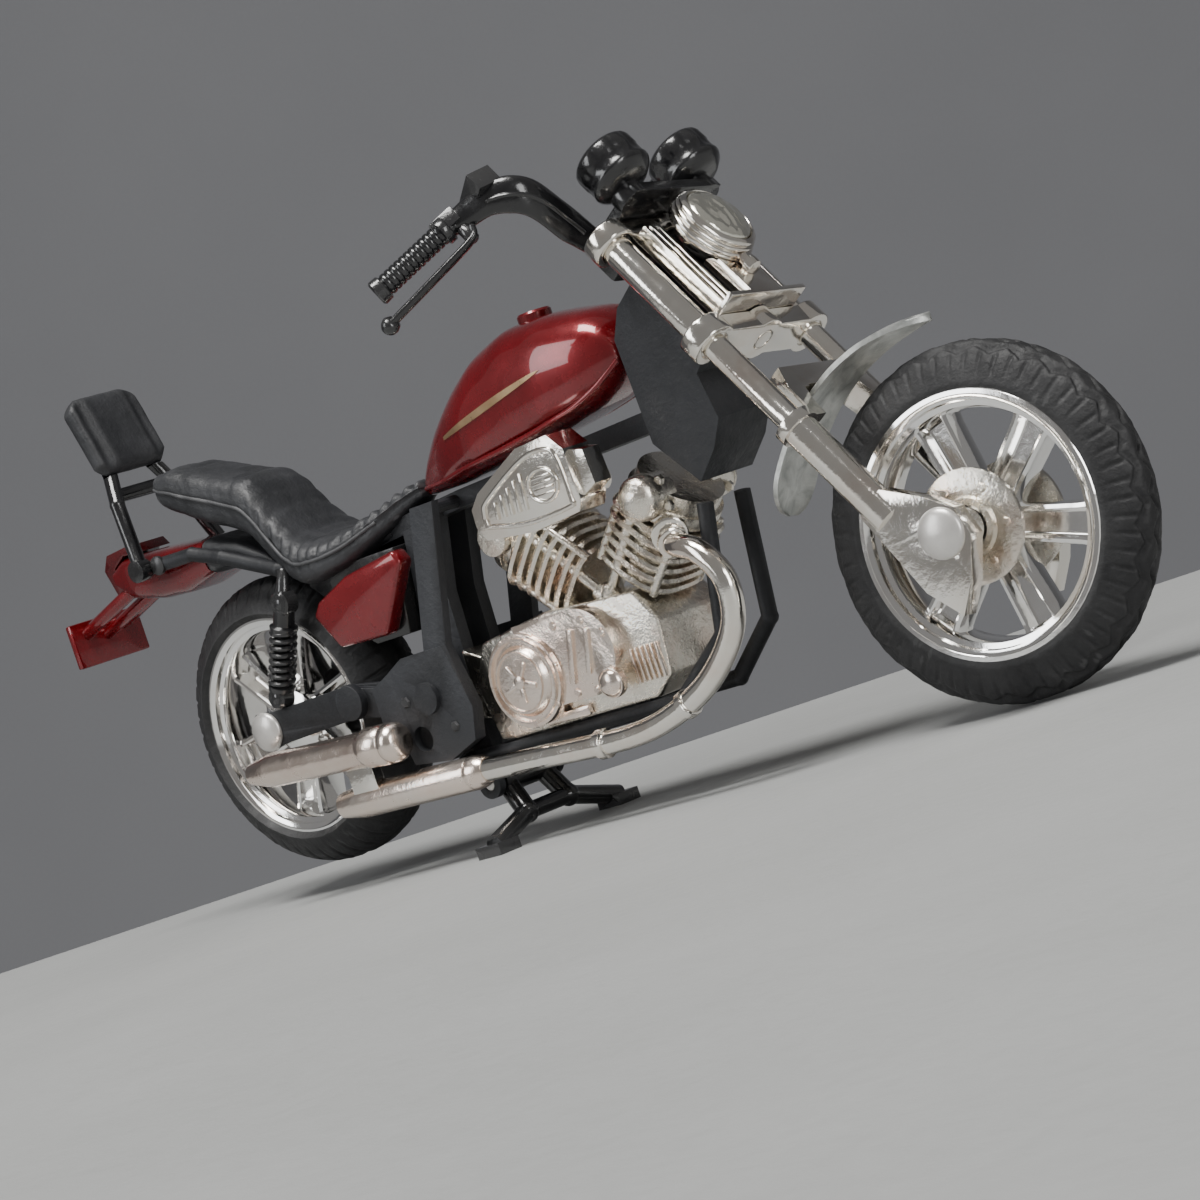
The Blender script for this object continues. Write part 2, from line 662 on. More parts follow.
def make_tyre(name, node, place, radius, width, lip, wavy):
    """Tyre with a crowned tread; grooves are cut into the mesh."""
    steps, across = 720, 60
    rings = []
    half = width / 2
    for ang in around(steps):
        ring = []
        for j in range(across + 1):
            t = 2 * j / across - 1
            y = half * t
            base = radius - (radius - lip - 0.35) * abs(t) ** 3.0
            depth = 0.0
            if abs(t) < 0.93:
                if wavy:
                    wave = 0.16 * sin(ang * 30)
                    tri = abs(((ang * 30 / pi) % 2) - 1) - 0.5
                    depth += 0.36 * groove(t - wave, 0.070)
                    depth += 0.34 * groove(abs(t) - 0.50 - 0.18 * tri, 0.065)
                    side = (ang * 60 / (2 * pi) + (0.5 if t > 0 else 0)) % 1 - 0.5
                    depth += 0.30 * groove(side, 0.13) * groove(abs(t) - 0.98, 0.36)
                else:
                    tri = abs(((ang * 24 / pi) % 2) - 1) - 0.5
                    depth += 0.20 * groove(t - 0.10 * tri, 0.030)
                    side = (ang * 48 / (2 * pi) + (0.5 if t > 0 else 0) + 0.5 * abs(t)) % 1 - 0.5
                    depth += 0.22 * groove(side, 0.10) * groove(abs(t) - 0.60, 0.26)
            q = Vector((cos(ang), sin(ang), 0)) * radius * 0.55 + Vector((0, 0, y * 0.8))
            rough = (0.10 if wavy else 0.07) * noise.noise(q) + 0.05 * noise.noise(q * 2.7)
            r = base - depth * (1 - abs(t) ** 6) + rough - 0.12
            ring.append(Vector((r * cos(ang), y, r * sin(ang))))
        inner = lip - 0.45
        ring.append(Vector((inner * cos(ang), half * 0.86, inner * sin(ang))))
        ring.append(Vector((inner * cos(ang), -half * 0.86, inner * sin(ang))))
        rings.append(ring)
    cols = len(rings[0])
    verts = [p for r in rings for p in r]
    tyre = new_object(name, verts, grid_faces(steps, cols, True, True), place, 50)
    return finish(tyre, node)


def make_rim(name, node, place, lip, lip_y, hub_r, hub_half, spoke_half, bore):
    """Bright wheel: stepped lip, barrel and six channel spokes."""
    soup = Soup()
    lip_steps = [(-1.75, 1.2), (-1.55, 0.75), (-1.1, 0.65), (-1.0, 0.2), (-0.62, 0.08), (-0.5, -0.02),
                 (-0.12, 0), (0, 0.12), (-0.05, 0.5), (-0.7, 0.6)]
    soup.hoop(both_sides([(lip + r, y - lip_y) for r, y in lip_steps]), 144)
    hub = [(bore, -hub_half), (bore + 0.75, -hub_half), (bore + 0.95, -hub_half + 0.2),
           (bore + 0.95, -spoke_half - 0.9), (hub_r - 0.7, -spoke_half - 0.8),
           (hub_r - 0.1, -spoke_half - 0.5), (hub_r, -spoke_half - 0.1)]
    soup.hoop(both_sides(hub))
    flank = [(-1.0, 0), (-0.97, 0.55), (-0.90, 0.92), (-0.72, 1.0), (-0.62, 0.93), (-0.56, 0.35),
             (-0.48, 0.18)]
    upper = flank + [(-x, h) for x, h in reversed(flank)]
    section = upper + [(x, -h) for x, h in reversed(upper[1:-1])]
    inner, outer, steps = hub_r - 0.5, lip - 1.45, 12
    for n in range(6):
        rings = []
        for i in range(steps + 1):
            t = i / steps
            width = 1.5 + 0.38 * t
            width += 0.35 * max(0, (t - 0.86) / 0.14) ** 2 + 0.3 * max(0, (0.14 - t) / 0.14) ** 2
            # the channel fills up where the spoke meets hub and lip
            filled = min(1, max(0.0, (0.10 - t) / 0.10) + max(0.0, (t - 0.92) / 0.08))
            ring = []
            for x, h in section:
                if abs(h) < 0.9 and abs(x) < 0.6:
                    h += (copysign(0.92, h) - h) * filled
                ring.append(Vector((inner + (outer - inner) * t, h * spoke_half, x * width)))
            rings.append(ring)
        soup.rings(rings, True, Matrix.Rotation(-radians(60 * n + 12), 4, "Y"))
    return finish(soup.build(name, place, 34), node, RIM_CHROME)


def dome_head(soup, r, y, side, high):
    """Domed axle head standing on a short rim of its own."""
    steps, rim = 10, 0.12
    profile = [(r * 0.98, 0.0), (r, rim)]
    for i in range(1, steps + 1):
        a = pi / 2 * i / steps
        profile.append((r * cos(a) + 0.001, rim + (high - rim) * sin(a)))
    soup.rings(lathe([(a, side * (y + b)) for a, b in profile], 48))


def make_wheels():
    low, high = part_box("rear_tyre")
    rear_r, rear_w = (high.z - low.z) / 2 / MM, (high.y - low.y) / MM
    make_tyre("rear_tyre_tread", "rear_tyre", BACK, rear_r, rear_w, 10.95, False)
    make_rim("rear_wheel_rim", "rear_rim", BACK, 10.93, 3.72, 3.2, 4.6, 1.9, 0.80)
    make_tyre("front_tyre_tread", "front_tyre", FRONT, HUB.z / MM - 0.02, 5.5, 11.35, True)
    make_rim("front_wheel_rim", "front_rim", FRONT, 11.33, 2.68, 2.9, 6.1, 1.3, 0.80)
    disc = [(1.9, 3.15), (4.5, 3.15), (4.85, 3.3), (4.85, 3.7), (4.5, 3.85), (2.6, 3.85), (2.45, 4.3),
            (1.9, 4.3)]
    bolt_ring = 3.5
    soup = Soup()
    for side in (-1, 1):
        soup.hoop([(r, side * y) for r, y in disc])
        for k in range(6):
            a = radians(60 * k + 20)
            soup.bolt((bolt_ring * cos(a), side * 3.8, bolt_ring * sin(a)), (0, side, 0), 0.42, 0.3)
    finish(soup.build("front_discs", FRONT), "front_disc", CAST_CHROME)
    soup = Soup()
    soup.hoop([(1.85, 2.35), (4.3, 2.35), (4.6, 2.6), (4.6, 4.1), (4.2, 4.5), (1.85, 4.58)])
    for k in range(8):
        a = radians(45 * k)
        soup.block((1.6, 0.3, 0.35), Matrix.Rotation(a, 4, "Y") @ at_mm(3.1, 4.45, 0), 0.08)
    finish(soup.build("rear_hub_drum", BACK), "rear_drum")
    for name, node, place, half, head in (("front_spindle", "front_axle", FRONT, 8.3, 2.15),
                                          ("rear_spindle", "rear_axle", BACK, 6.2, 1.95)):
        soup = Soup()
        soup.rod((0, -half, 0), (0, half, 0), 0.745)
        for side in (-1, 1):
            dome_head(soup, head, half, side, 0.88)
        finish(soup.build(name, place), node)


# ---------------------------------------------------------------- fork, lights and controls
H0, H1 = 27.5, 39.7  # heights of the lower and the upper clamp in the fork's frame


def make_front_fender():
    """Thin pressed blade: pointed tip ahead, rounded tail behind, edges rolled in."""
    rows, cols = 60, 22
    radius, full = 18.78, 3.05
    tip, tail = 0.30, 0.86  # parts of the length where the point ends and the rounding starts
    start, end = 53.5, 126.5
    top, bottom = [], []
    for i in range(rows + 1):
        t = i / rows
        ang = radians(start + (end - start) * t)
        if t < tip:
            width = full * sin(pi / 2 * (t / tip) ** 0.72) + 0.10
        elif t > tail:
            width = full * sqrt(max(0.0, 1 - ((t - tail) / 0.142) ** 2)) + 0.06
        else:
            width = 3.12
        for j in range(cols + 1):
            v = 2 * j / cols - 1
            wobble = 0.06 * noise.noise(Vector((t * 9, v * 2, 3)))
            r = radius - 0.30 * abs(v) ** 3 + wobble
            for store, off in ((top, 0.24), (bottom, -0.20)):
                store.append(Vector((1.04 + (r + off) * cos(ang), v * width, (r + off) * sin(ang))))
    n, base = cols + 1, len(top)
    faces = []
    for i in range(rows):
        for j in range(cols):
            a, b, c, d = i * n + j, i * n + j + 1, (i + 1) * n + j + 1, (i + 1) * n + j
            faces.append((a, b, c, d))
            faces.append((base + d, base + c, base + b, base + a))
    rim = list(range(n)) + [i * n + cols for i in range(1, rows + 1)]
    rim += [rows * n + j for j in range(cols - 1, -1, -1)] + [i * n for i in range(rows - 1, 0, -1)]
    for a, b in zip(rim, rim[1:] + rim[:1]):
        faces.append((a, b, base + b, base + a))
    fender = new_object("front_mudguard", top + bottom, faces, FORK, 50)
    finish(fender, "front_fender", SILVER)


def make_headlight():
    soup = Soup()
    z = (H0 + H1) / 2 + 2.6
    profile = [(0.01, 2.25), (2.4, 2.25), (2.85, 2.4), (3.3, 2.95), (3.7, 3.4), (3.86, 3.5), (3.98, 3.75)]
    for k in range(3):
        x0 = 3.98 + k * 0.5
        r = 4.06 - k * 0.16
        profile += [(r - 0.16, x0), (r - 0.02, x0 + 0.10), (r, x0 + 0.22), (r - 0.02, x0 + 0.34),
                    (r - 0.16, x0 + 0.44)]
    profile += [(3.5, 5.52), (3.3, 5.6), (3.2, 5.5), (3.12, 5.2), (0.01, 5.2)]
    soup.rings(lathe(profile, 96, "x"), True, at_mm(0, 0, z))
    finish(soup.build("headlight_body", FORK, 45), "headlight_shell", CHROME)
    soup = Soup()
    profile = [(0.01, 4.95), (3.1, 4.95), (3.12, 5.35)]
    for k in range(1, 15):
        a = pi / 2 * k / 14
        profile.append((3.12 * cos(a) + 0.002, 5.4 + 0.92 * sin(a)))
    rings = lathe(profile, 72, "x")
    # flutes and a ring in the glass
    for p in [p for ring in rings for p in ring if p.x > 5.4]:
        rr = hypot(p.y, p.z)
        p.x += 0.10 * cos(p.y * 7.5) * (1 - rr / 3.4) - 0.12 * bell(rr, 1.9, 0.28)
    soup.rings(rings, True, at_mm(0, 0, z))
    finish(soup.build("headlight_glass", FORK, 60), "headlight_lens", LENS)
    # knob under the shell
    soup = Soup()
    soup.turned((4.2, 0, z - 4.0), (4.2, 0, z - 6.2), [(0, 0.55), (0.7, 0.55), (0.8, 0.8), (1.5, 0.8),
                                                       (1.7, 0.5)], 20)
    finish(soup.build("headlight_knob", FORK), "headlight_bracket", CHROME, [])


def make_gauges():
    pod = [(0.01, 0.0), (1.7, 0.0), (2.1, 0.12), (2.75, 0.62), (2.94, 0.9), (2.98, 1.1), (2.9, 1.3),
           (2.9, 2.2), (2.98, 2.35), (2.98, 3.35), (2.9, 3.6), (2.72, 3.8), (2.55, 3.92), (2.3, 4.0),
           (2.2, 3.86), (2.1, 3.62), (0.01, 3.6)]
    sides, x = 96, 4.3
    for side, name in SIDES:
        y = side * 5.4
        soup = Soup()
        rings = lathe(pod, sides, "z")
        # ten shallow flutes round the body
        for ring in rings[7:10]:
            for a, p in zip(around(sides), ring):
                f = 1 - 0.035 * (0.5 + 0.5 * cos(10 * a)) ** 3
                p.x, p.y = p.x * f, p.y * f
        soup.rings(rings, True, at_mm(x, y, H1 + 2.5))
        # pointer and its hub on the face
        soup.block((2.2, 0.22, 0.14), at_mm(x, y, H1 + 6.16) @ Matrix.Rotation(0.7 * side, 4, "Z"), 0.04)
        soup.turned((x, y, H1 + 6.05), (x, y, H1 + 6.4), [(0, 0.42), (0.2, 0.42), (0.3, 0.25)], 16)
        finish(soup.build("gauge_" + name + "_pod", FORK), "gauge_" + name, BLACK)


def make_handlebar():
    half_span = 19.0
    foot = Vector((-2.7, 3.6, H1 + 2.4))
    knee = Vector((0.2, half_span * 0.6, H1 + 7.6))
    shoulder = Vector((-5, half_span * 0.737, H1 + 10.1))
    tip = Vector((-13.2, half_span, H1 + 10.2))
    grip = tip - shoulder
    shift = Vector((-0.35, 0, -0.55))
    soup = Soup()
    for side in (1, -1):
        m = mirror(side)
        path = spline([foot, foot * 0.45 + knee * 0.55 + Vector((0.1, 0, 0.1)), knee + Vector((-0.3, 0, 0)),
                       (knee + shoulder) / 2 + Vector((0.5, 0.35, 0.55)), shoulder, shoulder + grip * 0.14],
                      14)
        rings = tube_rings(path, lambda t: 0.62 + 0.32 * max(0, (t - 0.72) / 0.28), 28,
                           lambda t: (1.62 - 0.75 * max(0.0, (t - 0.50) / 0.5))
                           * (0.72 + 0.28 * min(1, t * 6)), (0.75, -0.1, 0.85))
        n = len(rings)
        for i, ring in enumerate(rings):
            ring[:] = [p + shift * min(1, i / n * 6) * (1 - (i / n) ** 2) for p in ring]
        soup.rings(rings, True, m)
        # sunk web on the broad face
        web = [p + shift * 0.9 for p in path[8:44]]
        soup.rings(tube_rings(web, 0.80, 16, lambda t: 0.34, (0.75, -0.1, 0.85)), True, m)
        soup.block((2.3, 2.4, 3.6), m @ at_mm(-2.6, 3.6, H1 + 0.9), 0.35)
        soup.bolt((-2.6, side * 3.6, H1 + 3.3), (0, 0, 1), 0.62, 0.35)
    soup.rod((-2.7, -3.7, H1 + 2.4), (-2.7, 3.7, H1 + 2.4), 1.05)
    finish(soup.build("handlebar_strap", FORK, 50), "handlebar", BLACK)
    for side, name in SIDES:
        m = mirror(side)
        soup = Soup()
        run = grip.length * 0.88
        outline = [(0, 1.12), (0.12, 1.26), (0.75, 1.26), (0.9, 1.02)]
        s = 1.1
        while s < run - 1.25:
            outline += [(s, 1.0), (s + 0.12, 0.90), (s + 0.24, 1.0)]
            s += 0.55
        outline += [(run - 1.1, 1.0), (run - 0.98, 1.16), (run - 0.2, 1.2), (run - 0.02, 1.0)]
        soup.rings(lathe([(r, h) for h, r in outline], 40, "z"), True,
                   m @ pointed(shoulder + grip * 0.12, tip))
        # switch block beside the grip
        soup.block((2.6, 1.9, 1.6), m @ at_mm(*(shoulder + grip * 0.15 + Vector((0.2, -0.2, 0.25))))
                   @ Matrix.Rotation(-0.55, 4, "Z"), 0.3)
        finish(soup.build("grip_" + name + "_sleeve", FORK, 50), "grip_" + name, BLACK)
        soup = Soup()
        path = spline([shoulder + Vector((0.2, 0, -1.5)), shoulder + grip * 0.10 + Vector((0.35, 0, -2.45)),
                       shoulder + grip * 0.5 + Vector((0.3, 0, -2.75)), tip + Vector((-0.6, 0.2, -2.9))],
                      10)
        soup.rings(tube_rings(path, lambda t: 0.36, 18, lambda t: 0.62 - 0.14 * t, (1, 0.3, 0)), True, m)
        soup.turned(m @ (tip + Vector((-1.6, 0.05, -2.9))), m @ (tip + Vector((-0.1, 0.5, -2.92))),
                    [(0, 0.45), (0.25, 0.7), (0.6, 0.82), (1.0, 0.8), (1.35, 0.5)], 20)
        soup.turned(m @ (shoulder + grip * 0.06 + Vector((0.2, 0, -1.02))),
                    m @ (shoulder + grip * 0.06 + Vector((0.2, 0, -2.7))),
                    [(0, 0.5), (0.1, 0.6), (1.5, 0.6), (1.65, 0.45)], 16)
        finish(soup.build("lever_" + name + "_blade", FORK, 50), "lever_" + name, BLACK)


# ---------------------------------------------------------------- exhaust
def make_exhaust():
    y, ym = -7.3, -8.93  # planes of the header with the lower silencer, and of the upper one
    path = spline([(54.8, -3.6, 23.1), (57.2, -6.3, 21.8), (60.2, y + 0.15, 20.6), (62.3, y, 17.6),
                   (61.4, y, 13.6), (57.2, y, 9.9), (51.8, y, 7.75), (45.8, y, 6.95), (36, y, 7.28),
                   (27.6, y, 7.6)], 12)
    soup = Soup()
    soup.rings(tube_rings(path, 1.08, 36))
    for k, half, r in ((4, 0.5, 1.65), (11, 0.35, 1.4), (68, 0.45, 1.32), (88, 0.5, 1.36)):
        p, q = path[k], path[k + 1]
        dd = (q - p).normalized()
        soup.turned(p - dd * half, p + dd * half, [(0, r - 0.2), (0.12, r), (2 * half - 0.12, r),
                                                   (2 * half, r - 0.2)], 32)
    finish(soup.build("header_sweep", BIKE, 45), "header_pipe", CHROME)
    soup = Soup()
    a, b = Vector((28, y, 7.6)), Vector((8.3, y, 8.0))
    n = (b - a).length
    soup.turned(a, b, [(0, 1.16), (0.2, 1.3), (0.8, 1.52), (1.5, 1.6), (1.8, 1.63), (1.95, 1.54),
                       (2.1, 1.6), (n - 2.9, 1.61), (n - 2.4, 1.56), (n - 0.4, 1.32), (n - 0.05, 1.26),
                       (n, 1.16), (n - 0.05, 0.86), (n - 1.6, 0.82), (n - 1.62, 0.01)], 48)
    finish(soup.build("silencer_low", BIKE, 45), "muffler_lower", PINK_CHROME)
    soup = Soup()
    a, b = Vector((20.2, ym, 12.45)), Vector((-0.9, ym, 13.4))
    n = (b - a).length
    soup.turned(a, b, [(0, 0.01), (0.02, 1.2), (0.3, 1.6), (0.75, 1.85), (1.5, 1.93), (1.7, 1.80),
                       (1.95, 1.80), (2.1, 1.93), (4.1, 1.93), (4.6, 1.85), (4.85, 1.68), (5.1, 1.66),
                       (n - 3.2, 1.66), (n - 2.7, 1.6), (n - 0.3, 1.12), (n, 1.04), (n - 0.1, 0.72),
                       (n - 1.5, 0.7), (n - 1.52, 0.01)], 56)
    finish(soup.build("silencer_high", BIKE, 45), "muffler_upper", PINK_CHROME)


# ---------------------------------------------------------------- engine
def squircle(half_a, half_b, sides=40, power=0.5):
    out = []
    for a in around(sides):
        out.append((half_a * signed_power(cos(a), power), half_b * signed_power(sin(a), power)))
    return out


def stack_place(p, q):
    """Frame at p: Z along the barrel, Y across the machine."""
    z = (Vector(q) - Vector(p)).normalized()
    y = Vector((0, 1, 0))
    x = y.cross(z)
    m = Matrix((x, y, z)).transposed().to_4x4()
    m.translation = Vector(p)
    return m


def make_barrel(name, node, p, q, fins, half):
    soup = Soup()
    place = stack_place(p, q)
    length = (Vector(q) - Vector(p)).length
    steps = []
    for i in range(fins):
        z0 = length * (i + 0.16) / fins
        z1 = length * (i + 0.70) / fins
        mid = (z0 + z1) / 2
        grow = 1.0 - 0.10 * (1 - (i + 0.5) / fins)
        steps += [(z0 - 0.1, 0.74 * grow), (z0, 0.96 * grow), (mid, 1.0 * grow), (z1, 0.96 * grow),
                  (z1 + 0.1, 0.74 * grow)]
    outline = squircle(half, half, 44, 0.62)
    rings = [[Vector((x * f, y * f, z)) for x, y in outline] for z, f in steps]
    soup.rings(rings, True, place)
    for sx in (-1, 1):
        for sy in (-1, 1):
            a = place @ Vector((sx * half * 0.70, sy * half * 0.70, 0))
            b = place @ Vector((sx * half * 0.70, sy * half * 0.70, length))
            soup.rod(a, b, 0.42, 12)
    return finish(soup.build(name, BIKE, 42), node, CAST_CHROME)


def make_engine():
    rc0, rc1 = Vector((42.1, 0, 20.6)), Vector((36.6, 0, 26.1))
    fc0, fc1 = Vector((47.9, 0, 20.3)), Vector((52.6, 0, 24.9))
    make_barrel("rear_barrel_fins", "rear_cylinder", rc0, rc1, 7, 4.55)
    make_barrel("front_barrel_fins", "front_cylinder", fc0, fc1, 6, 4.55)
    for part, bevel, look in (("rear_head", 0.3, CAST_CHROME), ("front_head", 0.3, CAST_CHROME),
                              ("crankcase", 0.5, CAST_CHROME), ("right_cover", 0.4, PINK_CHROME),
                              ("left_cover", 0.4, PINK_CHROME)):
        soften(part, bevel, 3, look)
    soften("air_cleaner", 0.75, 4, CHROME)
    y = -4.5  # right face of the crankcase
    cx, cz = 35.2, 14.3  # centre of the round cover
    soup = Soup()
    # raised rim, star and screws on the round cover
    for r, half, high, depth in ((3.85, 0.16, 0.30, 2.1), (2.7, 0.10, 0.16, 2.7)):
        base, flat = y - depth + 0.1, y - depth - high
        ridge = [(r - half, base), (r - half * 0.6, flat), (r + half * 0.6, flat), (r + half, base)]
        soup.rings(lathe(ridge, 72), False, at_mm(cx, 0, cz))
    for k in range(5):
        a = radians(72 * k + 20)
        m = at_mm(cx, y - 2.74, cz) @ Matrix.Rotation(a, 4, "Y") @ at_mm(1.25, 0, 0)
        soup.block((1.5, 0.24, 0.5 - 0.04 * k), m, 0.08)
    soup.turned((cx, y - 2.6, cz), (cx, y - 3.0, cz), [(0, 0.6), (0.28, 0.6), (0.38, 0.35)], 20)
    for k in range(7):
        a = radians(51.4 * k + 8)
        soup.bolt((cx + 4.05 * cos(a), y - 1.9, cz + 4.05 * sin(a)), (0, -1, 0), 0.36, 0.22, 12)
    # gear cover relief, bolts and link to the crank boss
    for ax, az in ((40.2, 18.2), (43.6, 18.0), (45.6, 16.4), (45.4, 13.0), (40.6, 11.9), (43.0, 11.6)):
        soup.bolt((ax, y - 1.5, az), (0, -1, 0), 0.42, 0.3, 12)
    soup.block((0.7, 0.5, 5.0), at_mm(41.3, y - 1.65, 15.1) @ Matrix.Rotation(0.32, 4, "Y"), 0.15)
    soup.block((0.6, 0.45, 4.2), at_mm(43.4, y - 1.65, 15.2) @ Matrix.Rotation(0.32, 4, "Y"), 0.15)
    soup.turned((45.2, y - 1.4, 11.9), (45.2, y - 2.75, 11.9),
                [(0, 1.35), (0.7, 1.35), (1.0, 1.15), (1.3, 0.8)], 28)
    soup.block((5.4, 0.6, 0.9), at_mm(37.6, y - 0.35, 10.1), 0.2)
    # lower case ribs
    for k in range(6):
        soup.block((0.35, 0.5, 3.2), at_mm(46.9 + 0.62 * k, y - 0.12, 12.6), 0.12)
    finish(soup.build("cover_relief", BIKE, 42), "right_cover", PINK_CHROME, [])
    # push rod tubes and rocker details
    soup = Soup()
    for side in (-1, 1):
        for base, top in (((44.6, side * 3.0, 19.4), (38.2, side * 3.6, 27.2)),
                          ((45.6, side * 3.3, 19.4), (52.2, side * 3.8, 26.2))):
            soup.rod(base, top, 0.55, 16)
            d = (Vector(top) - Vector(base)).normalized()
            soup.turned(Vector(base) - d * 0.2, Vector(base) + d * 0.9, [(0, 0.9), (0.9, 0.9), (1.1, 0.6)],
                        18)
        dome = [(0.01, 0)] + [(2.02 * sin(pi / 2 * k / 10), 1.25 * (1 - cos(pi / 2 * k / 10)))
                              for k in range(1, 11)]
        soup.rings(lathe([(r, side * (6.75 - h)) for r, h in dome], 40), True, at_mm(54.2, 0, 26.4))
        for ax, az in ((52.2, 27.7), (56.0, 27.4), (56.2, 25.0), (52.3, 24.9)):
            soup.bolt((ax, side * 4.1, az), (0, side, 0), 0.5, 0.4, 6)
        for ax, az in ((33.6, 27.2), (36.9, 28.6), (37.2, 26.2)):
            soup.bolt((ax, side * 4.0, az), (0, side, 0), 0.46, 0.36, 6)
    finish(soup.build("valve_gear", BIKE, 42), "front_head", CAST_CHROME, [])
    # recessed panel with slats on the air cleaner
    soup = Soup()
    y = -9.6  # outer face of the air cleaner
    loop = [(40.0, 28.3), (44.8, 27.5), (50.2, 27.7), (50.6, 28.3), (50.4, 32.0), (49.4, 33.1),
            (46.3, 32.9), (41.0, 30.6), (40.1, 29.6)]
    pts = spline([(x, y - 0.02, z) for x, z in loop + loop[:1]], 6)
    soup.rings(tube_rings(pts, 0.24, 10))
    for k in range(5):
        x = 41.6 + 0.95 * k
        top = 30.2 + 0.42 * k
        soup.block((0.34, 0.30, top - 28.6), at_mm(x, y - 0.03, (top + 28.6) / 2)
                   @ Matrix.Rotation(0.10, 4, "Y"), 0.08)
    ring = []
    for k in range(33):
        a = 2 * pi * k / 32
        ring.append(Vector((47.9 + 1.75 * cos(a), y - 0.04, 30.2 + 1.45 * sin(a))))
    soup.rings(tube_rings(ring, 0.20, 10))
    for k in range(4):
        soup.block((2.3, 0.26, 0.26), at_mm(47.9, y - 0.02, 29.4 + 0.52 * k), 0.06)
    finish(soup.build("cleaner_panel", BIKE, 42), "air_cleaner", CHROME, [])


# ---------------------------------------------------------------- tail, shocks and frame details
def loft_plan(name, node, table, half, material, x0, x1, replaced=None, steps=40, power=0.5):
    """Block lofted along x from (x, low, high) rows with rounded edges."""
    lows = [(r[0], r[1]) for r in table]
    highs = [(r[0], r[2]) for r in table]
    rings = []
    for i in range(steps + 1):
        x = x0 + (x1 - x0) * i / steps
        low, high = eased(lows, x, 0.5), eased(highs, x, 0.5)
        w = half(x)
        rings.append([Vector((x, yy, (low + high) / 2 + zz)) for yy,
                      zz in squircle(w, (high - low) / 2, 40, power)])
    piece = new_object(name, *rings_mesh(rings), BIKE, 55)
    return finish(piece, node, material, replaced)


def make_tail():
    table = [(-18, 34.8, 36.6), (-16.4, 33.2, 37.5), (-12, 32.2, 37.2), (-8.5, 32.0, 36.9),
             (-3, 33.0, 36.4), (1, 33.0, 35.2), (5, 31.6, 33.0), (6.4, 30.8, 31.4)]
    loft_plan("tail_shell", "rear_fender", table, lambda x: 3.75 - 0.5 * max(0, (-15 - x) / 3), RED, -17.9,
              -3.6)
    loft_plan("tail_inner", "rear_fender", table, lambda x: 3.6, SEAT, -3.7, 6.3, [])
    soften("tail_lamp", 0.25, 3, DARK_RED)
    soup = Soup()
    soup.block((0.75, 9.3, 4.6), at_mm(-25.5, 0, 30.65), 0.25)
    for side in (-1, 1):
        soup.rod((-25.4, side * 2.6, 31.6), (-15.2, side * 2.5, 34.6), 0.68, 20)
    soup.rod((-25.3, 0, 31.0), (-15.4, 0, 33.8), 0.6, 20)
    finish(soup.build("plate_arm", BIKE, 42), "plate_holder", RED)
    soup = Soup()
    soup.block((0.3, 7.6, 3.3), at_mm(-25.82, 0, 30.65), 0.12)
    finish(soup.build("plate_face", BIKE), "plate_holder", DARK_RED, [])


def make_shocks():
    for side, name in SIDES:
        soup = Soup()
        bot, top = Vector((3.2, side * 6.0, 19.6)), Vector((7.8, side * 6.0, 28.0))
        d = top - bot
        n = d.length
        soup.rod(bot, top, 0.72, 20)
        place = pointed(bot, top)
        coil = []
        turns, steps = 8, 26
        for i in range(turns * steps + 1):
            a = 2 * pi * i / steps
            z = n * (0.13 + 0.60 * i / (turns * steps))
            coil.append(place @ Vector((1.12 * cos(a), 1.12 * sin(a), z)))
        soup.rings(tube_rings(coil, 0.27, 8))
        soup.turned(bot + d * 0.70, bot + d * 0.96, [(0, 0.9), (0.1, 1.32), (0.5, 1.38), (0.7, 1.05),
                                                     (2.2, 1.0), (2.3, 0.8)], 28)
        soup.turned(bot + d * 0.06, bot + d * 0.2, [(0, 0.8), (0.2, 1.3), (0.6, 1.36), (0.8, 0.9)], 28)
        for p, r in ((bot, 1.1), (top, 1.2)):
            soup.turned(p + Vector((0, -0.9, 0)), p + Vector((0, 0.9, 0)),
                        [(0, r - 0.2), (0.2, r), (1.6, r), (1.8, r - 0.2)], 24)
            soup.bolt(p + Vector((0, side * 0.85, 0)), (0, side, 0), 0.62, 0.12)
        soup.rod(top + Vector((0, 0, 0.4)), (8.0, side * 4.9, 31.0), 0.68, 16)
        finish(soup.build("shock_" + name + "_coil", BIKE, 42), "shock_" + name, BLACK)


def make_frame_trim():
    """Screw heads laid on the black castings."""
    soup = Soup()
    for side in (-1, 1):
        soup.bolt((-8.6, side * 5.1, 35.5), (0, side, 0), 0.95, 0.45, 12)
        for x, y, z, r in ((25.9, 6.4, 18.0, 0.5), (20.2, 6.9, 15.6, 0.6), (25.4, 6.9, 12.2, 0.55)):
            soup.bolt((x, side * y, z), (0, side, 0), r, 0.3)
    finish(soup.build("rail_bolts", BIKE), "frame", DARK_METAL, [])


# ---------------------------------------------------------------- surroundings
AIM = Vector((41.0, 0, 19.0))  # point the camera looks at, on the machine


def make_camera():
    az, el, roll = radians(42.96), radians(0.87), radians(-18.61)
    back = Vector((sin(az) * cos(el), -cos(az) * cos(el), sin(el)))
    right = Vector((cos(az), sin(az), 0))
    up = back.cross(right)
    r2 = right * cos(roll) + up * sin(roll)
    u2 = up * cos(roll) - right * sin(roll)
    m = Matrix((r2, u2, back)).transposed().to_4x4()
    m.translation = BIKE @ (AIM + back * 340.8)
    data = bpy.data.cameras.new("camera")
    data.lens = 113.8
    data.sensor_width = 36.0
    data.clip_start = 0.005
    data.clip_end = 20
    cam = linked("camera", data)
    cam.matrix_world = m
    bpy.context.scene.camera = cam
    return back, right


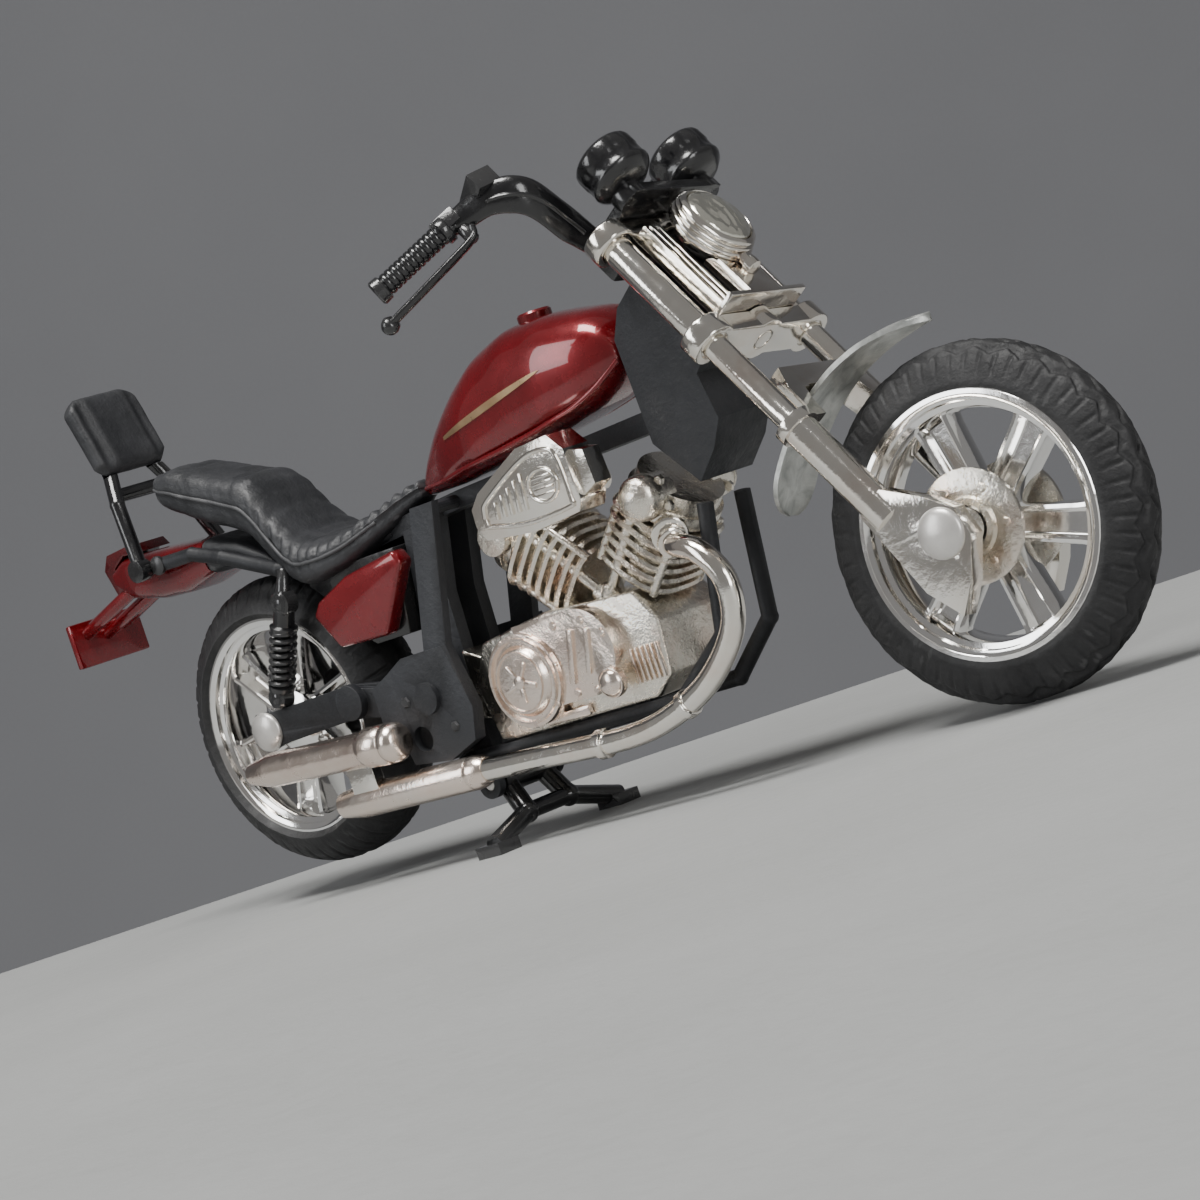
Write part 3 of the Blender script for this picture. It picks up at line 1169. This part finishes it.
def area_light(name, at, look, size, power, colour=(1, 1, 1)):
    data = bpy.data.lights.new(name, "AREA")
    data.shape = "RECTANGLE"
    data.size, data.size_y = size
    data.energy = power
    data.color = colour
    light = linked(name, data)
    at, look = Vector(at), Vector(look)
    light.matrix_world = Matrix.Translation(at) @ (at - look).to_track_quat("Z", "Y").to_matrix().to_4x4()


# ---------------------------------------------------------------- build
# bevel widths in millimetres of the nodes that have no piece of their own
PLAIN_BEVEL = 0.18
BEVELS = {"frame": 0.2, "swingarm": 0.25, "battery_box": 0.35, "side_cover_right": 0.45,
          "side_cover_left": 0.45, "headlight_bracket": 0.1, "sissy_bar": 0.2, "upper_clamp": 0.3,
          "lower_clamp": 0.3, "fork_bridge": 0.25, "master_cylinder": 0.3, "side_plate_right": 0.3,
          "side_plate_left": 0.3}
make_tank()
make_seat()
make_backrest()
make_wheels()
make_front_fender()
make_headlight()
make_gauges()
make_handlebar()
make_exhaust()
make_engine()
make_tail()
make_shocks()
make_frame_trim()
for part in SLOTS:
    if part not in REPLACED:
        soften(part, BEVELS.get(part, PLAIN_BEVEL), 3)

back, right = make_camera()
centre = BIKE @ AIM
flat = Vector((back.x, back.y, 0)).normalized()
ground = Vector((centre.x, centre.y, 0))
floor_back, floor_front, floor_side, wall_back = 0.075, 1.4, 1.3, 1.5
near, far, reach = ground + flat * floor_front, ground - flat * floor_back, right * floor_side
corners = [far - reach, near - reach, near + reach, far + reach]
floor = new_object("studio_floor", corners, [(0, 1, 2, 3)])
floor.data.materials.append(surface("floor_paper", [(0.33, 0.335, 0.33), (0.38, 0.385, 0.38)], (0.55, 0.75),
                                    grain=14.0, bumps=((900.0, 1.0), (300.0, 0.6)), strength=0.12,
                                    depth=0.0003))
wall = new_object("studio_wall", [(-4, 0, -3), (4, 0, -3), (4, 0, 4), (-4, 0, 4)], [(0, 1, 2, 3)])
wall.data.materials.append(surface("wall_paper", [(0.30, 0.305, 0.325), (0.36, 0.365, 0.385)], (0.6, 0.8),
                                   grain=1.4, bumps=((60.0, 1.0),), strength=0.05, depth=0.001))
wall.matrix_world = Matrix.Translation(ground - flat * wall_back) @ Matrix.Rotation(atan2(right.y, right.x),
                                                                                    4, "Z")
area_light("key", centre + Vector((0, 0, 0.8)) - right * 0.15 + flat * 0.2, centre, (0.42, 0.30), 9.0,
           (1.0, 0.99, 0.97))
area_light("front_fill", centre + flat * 0.9 + right * 0.5 + Vector((0, 0, 0.30)), centre, (0.30, 0.55),
           3.6)
area_light("left_fill", centre + flat * 0.3 - right * 0.9 + Vector((0, 0, 0.45)), centre, (0.35, 0.6), 3.2,
           (0.96, 0.98, 1.0))
world = bpy.data.worlds.new("studio")
bpy.context.scene.world = world
world.use_nodes = True
world.node_tree.nodes["Background"].inputs["Color"].default_value = (0.60, 0.59, 0.58, 1)
world.node_tree.nodes["Background"].inputs["Strength"].default_value = 0.36
